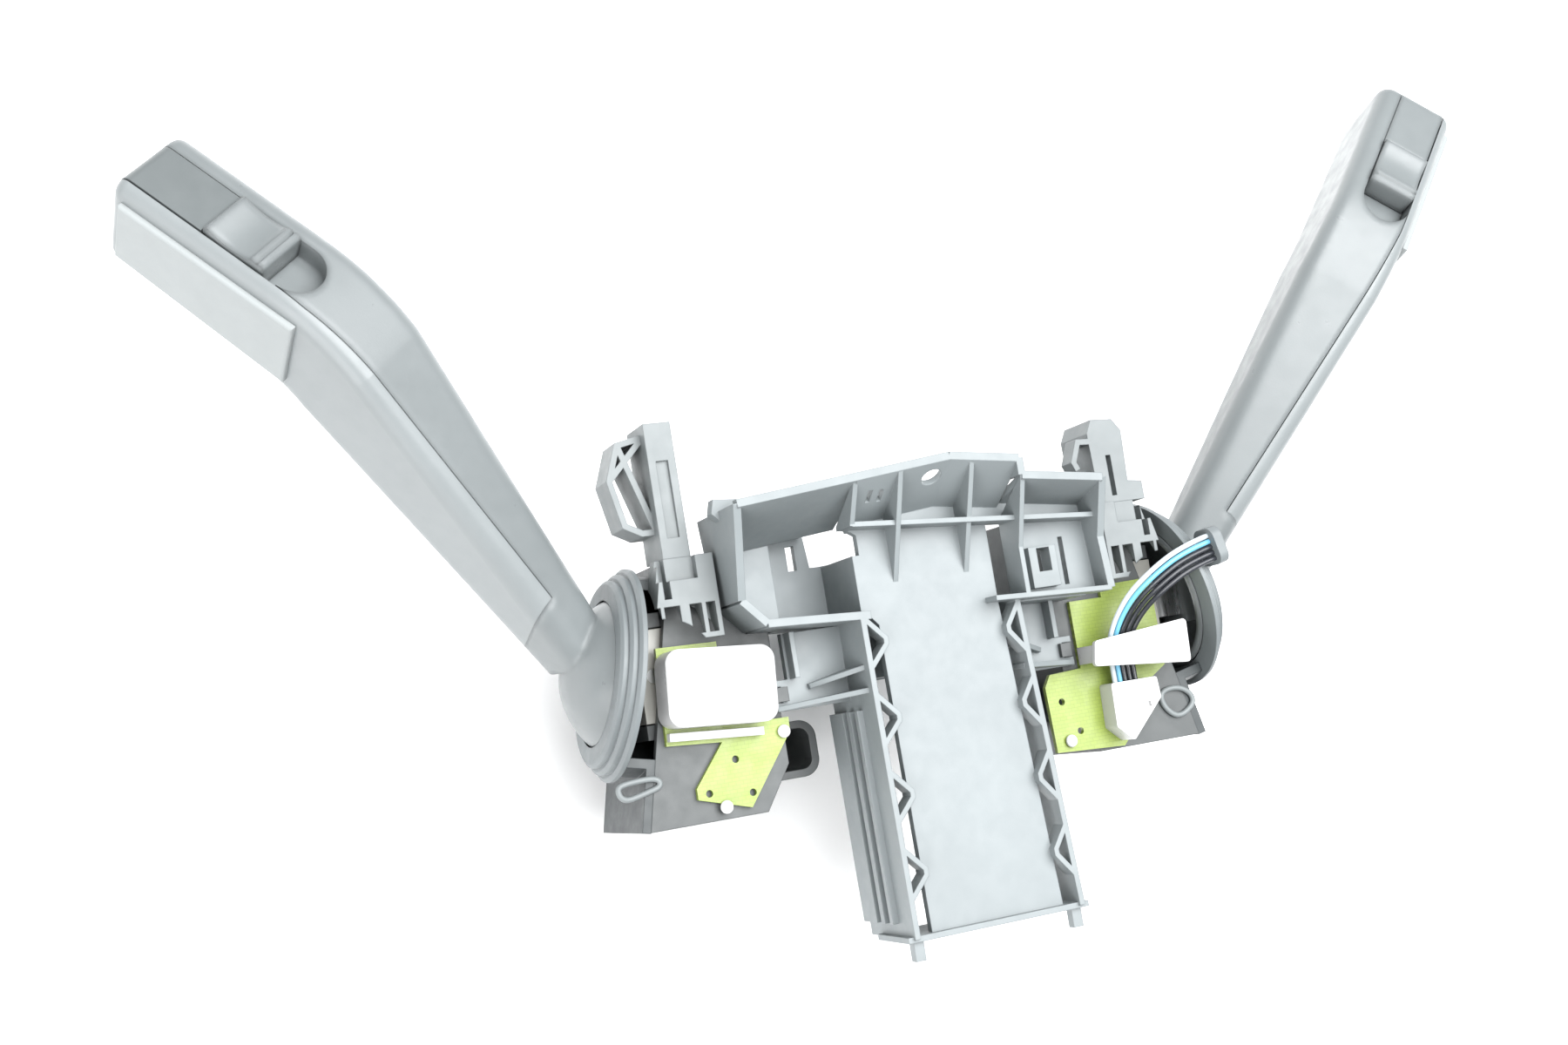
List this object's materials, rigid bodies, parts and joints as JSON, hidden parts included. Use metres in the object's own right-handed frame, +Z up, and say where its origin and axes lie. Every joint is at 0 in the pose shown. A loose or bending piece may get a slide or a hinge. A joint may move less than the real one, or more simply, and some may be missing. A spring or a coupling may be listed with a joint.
{
  "type": "combination stalk switch",
  "caption": "Steering column combination switch: a ribbed plastic carrier with a column clamp, a wiper stalk and a signal stalk in ball sockets, boards and a short wire bundle.",
  "frame": {"origin": "on the steering column's axis, 12 mm in front of the clamp collar's back face", "axes": "+Y along the column towards the driver, +X to the signal stalk's side, +Z up, the way the open face of the carrier looks"},
  "size_m": [0.4002, 0.2341, 0.1007],
  "materials": {
    "carrier_plastic": "fine-grained moulded plastic",
    "housing_plastic": "fine-grained moulded plastic",
    "dark_plastic": "dark moulded plastic",
    "stalk_plastic": "satin, softly textured plastic",
    "inner_plastic": "natural bearing plastic",
    "white_plastic": "smooth white plastic",
    "circuit_board": "yellow-green lacquered board",
    "boot_rubber": "grey ridged rubber",
    "steel": "plated steel",
    "blue_wire": "blue insulation",
    "white_wire": "white insulation",
    "black_wire": "black insulation"
  },
  "bodies": {
    "wiper_sweep_body": {"wiper_gimbal": "inner_plastic", "wiper_pull_pin": "steel"},
    "wiper_stalk_body": {"wiper_lever": "steel", "wiper_stalk": "stalk_plastic", "wiper_stalk_cover": "stalk_plastic", "wiper_grip_panel": "stalk_plastic", "wiper_tip": "stalk_plastic", "wiper_spring": "steel"},
    "wiper_slider_body": {"wiper_slider": "stalk_plastic"},
    "wiper_plunger_body": {"wiper_plunger": "inner_plastic"},
    "signal_sweep_body": {"signal_gimbal": "inner_plastic", "signal_pull_pin": "steel"},
    "signal_stalk_body": {"signal_lever": "steel", "signal_stalk": "stalk_plastic", "signal_stalk_cover": "stalk_plastic", "signal_grip_panel": "stalk_plastic", "signal_tip": "stalk_plastic", "signal_spring": "steel"},
    "signal_slider_body": {"signal_slider": "stalk_plastic"},
    "signal_plunger_body": {"signal_plunger": "inner_plastic"},
    "root": {"base_screws": "steel", "carrier": "carrier_plastic", "clamp_screw": "steel", "signal_base": "dark_plastic", "signal_board": "circuit_board", "signal_boot": "boot_rubber", "signal_bracket": "housing_plastic", "signal_cover": "housing_plastic", "signal_detent_block": "inner_plastic", "signal_flange": "dark_plastic", "signal_housing": "housing_plastic", "signal_plug": "white_plastic", "signal_wire_strap": "white_plastic", "wiper_base": "dark_plastic", "wiper_board": "circuit_board", "wiper_boot": "boot_rubber", "wiper_bracket": "housing_plastic", "wiper_cover": "housing_plastic", "wiper_detent_block": "inner_plastic", "wiper_flange": "dark_plastic", "wiper_housing": "housing_plastic", "wiper_relay": "white_plastic", "wiper_terminal_strip": "white_plastic", "wire_black_inner": "black_wire", "wire_black_middle": "black_wire", "wire_black_outer": "black_wire", "wire_blue": "blue_wire", "wire_white": "white_wire"}
  },
  "joints": [
    {"name": "wiper_sweep", "type": "hinge", "parent": "root", "child": "wiper_sweep_body", "pos_m": [-0.077, -0.002, 0.0165], "axis": [0, 1, 0], "range_deg": [-8, 8]},
    {"name": "wiper_pull", "type": "hinge", "parent": "wiper_sweep_body", "child": "wiper_stalk_body", "pos_m": [-0.077, -0.002, 0.0165], "axis": [0, 0, -1], "range_deg": [-4, 5], "stiffness_Nm_per_rad": 4},
    {"name": "wiper_slider_travel", "type": "slide", "parent": "wiper_stalk_body", "child": "wiper_slider_body", "axis": [-0.6739, 0.701, -0.2333], "range_m": [-0.0045, 0]},
    {"name": "wiper_plunger_travel", "type": "slide", "parent": "wiper_stalk_body", "child": "wiper_plunger_body", "axis": [1, 0, 0], "range_m": [-0.0015, 0], "stiffness_N_per_m": 800, "deforming": ["wiper_spring"]},
    {"name": "signal_sweep", "type": "hinge", "parent": "root", "child": "signal_sweep_body", "pos_m": [0.077, -0.002, 0.0165], "axis": [0, -1, 0], "range_deg": [-8, 8]},
    {"name": "signal_pull", "type": "hinge", "parent": "signal_sweep_body", "child": "signal_stalk_body", "pos_m": [0.077, -0.002, 0.0165], "axis": [0, 0, 1], "range_deg": [-4, 5], "stiffness_Nm_per_rad": 4},
    {"name": "signal_slider_travel", "type": "slide", "parent": "signal_stalk_body", "child": "signal_slider_body", "axis": [0.6535, 0.7249, -0.2178], "range_m": [-0.0045, 0]},
    {"name": "signal_plunger_travel", "type": "slide", "parent": "signal_stalk_body", "child": "signal_plunger_body", "axis": [-1, 0, 0], "range_m": [-0.0015, 0], "stiffness_N_per_m": 800, "deforming": ["signal_spring"]}
  ]
}
